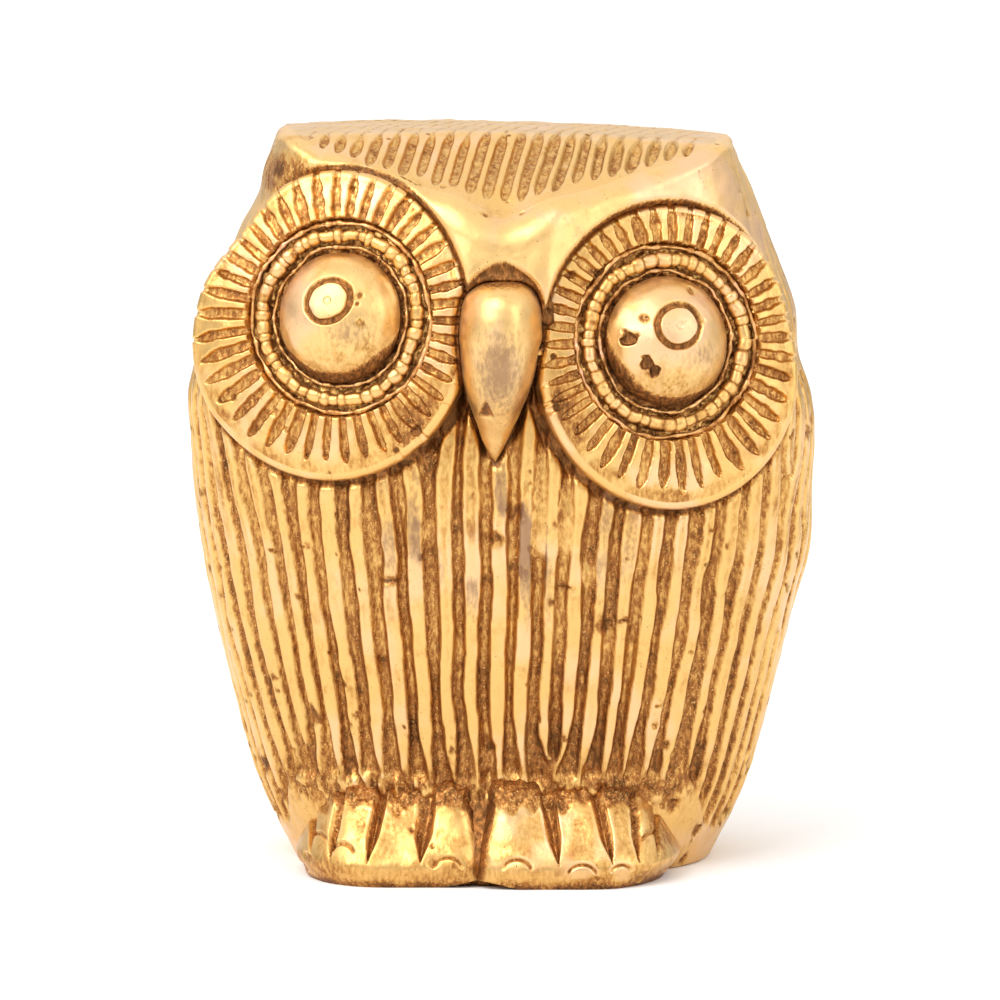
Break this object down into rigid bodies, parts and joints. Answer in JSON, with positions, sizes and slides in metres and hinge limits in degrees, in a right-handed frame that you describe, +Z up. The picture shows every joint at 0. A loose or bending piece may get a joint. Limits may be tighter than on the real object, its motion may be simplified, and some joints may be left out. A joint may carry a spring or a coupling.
{
  "type": "owl figurine",
  "caption": "Squat standing owl in cast brass, with a flat crown, grooved feather body, dished face discs with beaded rings and domed eyes, a smooth beak and two broad feet.",
  "frame": {"origin": "on the ground, under the middle of the whole figurine's outer box", "axes": "+Z is up, the owl faces -Y, and its left side is on +X"},
  "size_m": [0.0644, 0.059, 0.076],
  "materials": {
    "feather_brass": "polished yellow brass on the ridges, with matte reddish-brown tarnish in the grooves",
    "worn_brass": "smooth handled brass, glossy and slightly pinkish, with small casting pits",
    "recess_brass": "tarnished brass wire, brown in the creases and bright on its crest"
  },
  "bodies": {
    "root": {"body_shell": "feather_brass", "crown_cap": "feather_brass", "brow_ridge": "worn_brass", "beak": "worn_brass", "right_face_disc": "feather_brass", "right_inner_wire": "recess_brass", "right_bead_ring": "feather_brass", "right_outer_wire": "recess_brass", "right_eye": "worn_brass", "left_face_disc": "feather_brass", "left_inner_wire": "recess_brass", "left_bead_ring": "feather_brass", "left_outer_wire": "recess_brass", "left_eye": "worn_brass", "right_foot": "feather_brass", "left_foot": "feather_brass"}
  },
  "joints": []
}
